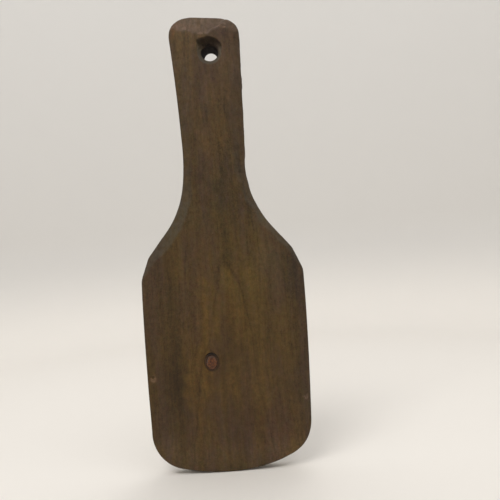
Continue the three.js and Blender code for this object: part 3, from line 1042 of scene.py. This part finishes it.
def knot_wood():
    g = Graph("knot_wood")
    place = g.vector("SUBTRACT", g.place(), (float(KNOT[0]), 0.0, float(KNOT[1]) - HEART_DROP))
    flat = g.scaled(place, (1.0, 0.0, float(KNOT_CORE[0] / KNOT_CORE[1])))
    shift = g.noise(g.scaled(place, (0.5, 0.2, 0.5)), 3.0, output="Color")
    uneven = g.scaled(g.vector("SUBTRACT", shift, (0.5, 0.5, 0.5)), (1.6, 0.0, 1.6))
    bent = g.vector("ADD", flat, uneven)
    radius = g.add("ShaderNodeVectorMath", {0: bent}, operation="LENGTH").outputs[1]
    rings = g.math("SINE", g.times(radius, 6.0))
    grit = g.noise(g.scaled(place, (1.5, 0.6, 1.5)), 5.0, 0.7)
    flecks = g.noise(g.scaled(place, (0.85, 0.4, 0.85)), 2.0, 0.6, 0.5)
    colour = g.mix(g.spread(flecks, 0.4, 0.6), HEART_DARK, HEART_RED)
    tone = g.plus(g.times(rings, 0.1), g.spread(grit, 0.32, 0.68, -0.42, 0.42))
    colour = g.darken(colour, g.plus(tone, 1.0))
    colour = g.mix(g.spread(grit, 0.58, 0.7, 0.0, 0.7), colour, HEART_PITS)
    # a paler ring just inside the rim, clearest at its upper left
    pale_side = g.dot(flat, (-0.45, 0, 0.89))
    pale_ring = g.times(g.bell(radius, 3.35, 0.45), g.spread(pale_side, -2.0, 2.5, 0.25, 0.85))
    colour = g.mix(pale_ring, colour, HEART_RIM)
    colour = g.darken(colour, g.spread(radius, 3.65, 4.3, 1.0, 0.5))
    g.bump(g.plus(g.times(rings, 0.25), grit), 0.7, 0.0002)
    return g.finish(colour, g.spread(grit, 0.3, 0.7, 0.45, 0.66), 0.35)


def knot_bark():
    g = Graph("knot_bark")
    place = g.place()
    flakes = g.noise(g.scaled(place, (1.6, 0.7, 1.6)), 5.0, 0.7, 0.5)
    grain = g.noise(g.scaled(place, (5.0, 1.2, 5.0)), 3.0, 0.6)
    colour = g.mix(g.spread(flakes, 0.35, 0.65), BARK_DARK, BARK_PALE)
    colour = g.darken(colour, g.spread(grain, 0.3, 0.7, 0.75, 1.3))
    # it is blackest over the top of the knot
    black = g.spread(g.split(place)[2], float(KNOT[1]) + 2.0, float(KNOT[1]) + 6.0, 0.0, 0.8)
    colour = g.mix(black, colour, BARK_BLACK)
    g.bump(g.plus(flakes, g.times(grain, 0.4)), 0.9, 0.0003)
    return g.finish(colour, g.spread(flakes, 0.3, 0.7, 0.72, 0.92), 0.25)


FLOOR_PAPER = (0.825, 0.794, 0.750)
SHADED_WALL_PAPER = (0.655, 0.640, 0.617)


def stage_paper(floor_z):
    """Pale floor paper that turns a soft grey as it curves up into the wall, a painted shade that keeps
    the wall darker than the floor.
    """
    g = Graph("stage_paper")
    floor = floor_z / MM
    wall_share = g.spread(g.split(g.place())[2], floor + 5, floor + 170)
    return g.finish(g.mix(wall_share, FLOOR_PAPER, SHADED_WALL_PAPER), 0.95, 0.1)


# ---------- Pieces ----------


def place_piece(piece, node, material):
    piece.data.materials.append(material)
    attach(piece, "root")
    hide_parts(node)


place_piece(build_board(), "paddle_body", board_wood())
place_piece(build_knot_core(), "knot_core", knot_wood())
place_piece(build_knot_bark(), "knot_bark_ring", knot_bark())

# ---------- Stage, light and camera, in metres ----------

STAGE_RADIUS = 0.8
STAGE_CURVE = 0.22
STAGE_HEIGHT = 0.78
STAGE_SIDES = 96
CURVE_STEPS = 12


def build_stage(floor_z):
    """A round pale floor that curves up into a wall all round."""
    profile = [(0.0, 0.0), (STAGE_RADIUS - STAGE_CURVE, 0.0)]
    for step in range(1, CURVE_STEPS + 1):
        turn = math.radians(90 * step / CURVE_STEPS)
        out = STAGE_RADIUS - STAGE_CURVE + STAGE_CURVE * math.sin(turn)
        profile.append((out, STAGE_CURVE * (1 - math.cos(turn))))
    profile.append((STAGE_RADIUS, STAGE_HEIGHT))
    vertices, faces = [(0, 0, floor_z)], []
    for out, up in profile[1:]:
        for side in range(STAGE_SIDES):
            turn = 2 * math.pi * side / STAGE_SIDES
            vertices.append((out * math.cos(turn), out * math.sin(turn), floor_z + up))
    for side in range(STAGE_SIDES):
        following = (side + 1) % STAGE_SIDES
        faces.append((0, 1 + side, 1 + following))
        for row in range(len(profile) - 2):
            inner = 1 + row * STAGE_SIDES
            outer = inner + STAGE_SIDES
            faces.append((inner + side, outer + side, outer + following, inner + following))
    mesh = bpy.data.meshes.new("stage")
    mesh.from_pydata(vertices, [], faces)
    mesh.polygons.foreach_set("use_smooth", [True] * len(mesh.polygons))
    mesh.materials.append(stage_paper(floor_z))
    stage = bpy.data.objects.new("stage", mesh)
    bpy.context.scene.collection.objects.link(stage)
    stage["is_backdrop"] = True


def add_softbox(name, position, target, size, power, colour):
    light = bpy.data.lights.new(name, "AREA")
    light.shape = "DISK"
    light.size = size
    light.energy = power
    light.color = colour
    softbox = bpy.data.objects.new(name, light)
    bpy.context.scene.collection.objects.link(softbox)
    softbox.location = position
    towards = Vector(target) - Vector(position)
    softbox.rotation_euler = towards.to_track_quat("-Z", "Y").to_euler()


def add_world(colour, strength):
    world = bpy.data.worlds.new("studio_air")
    world.use_nodes = True
    background = world.node_tree.nodes["Background"]
    background.inputs[0].default_value = (*colour, 1)
    background.inputs[1].default_value = strength
    bpy.context.scene.world = world


def add_camera():
    """Square on to the front, level with the blade's top, and turned so that the paddle leans left."""
    aim_x, aim_z = 19.0 * MM, -144.8 * MM
    distance = 0.38
    roll = math.radians(4.1)
    seen = 363.0 * MM  # width of the front's plane that the view takes in
    camera = bpy.data.cameras.new("camera")
    camera.sensor_width = 36.0
    camera.lens = camera.sensor_width * distance / seen
    holder = bpy.data.objects.new("camera", camera)
    bpy.context.scene.collection.objects.link(holder)
    right = Vector((math.cos(roll), 0, -math.sin(roll)))
    up = Vector((math.sin(roll), 0, math.cos(roll)))
    back = Vector((0, -1, 0))
    turn = Matrix((right, up, back)).transposed()
    level = front_level(aim_z / MM) * MM
    holder.matrix_world = Matrix.Translation((aim_x, level - distance, aim_z)) @ turn.to_4x4()
    camera.clip_start = 0.01
    bpy.context.scene.camera = holder


build_stage(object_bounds()[0].z)
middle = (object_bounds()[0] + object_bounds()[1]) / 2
add_softbox("key", (-0.55, -1.0, 1.15), middle, 1.0, 14.5, (1.0, 0.975, 0.94))
add_softbox("fill", (0.9, -0.9, 1.0), middle, 1.2, 3.9, (0.96, 0.98, 1.0))
add_softbox("back_fill", (0.35, 1.2, 1.3), middle, 1.2, 6, (1.0, 0.98, 0.96))
add_world((0.97, 0.97, 0.97), 0.825)
bpy.context.scene.view_settings.view_transform = "Standard"
add_camera()
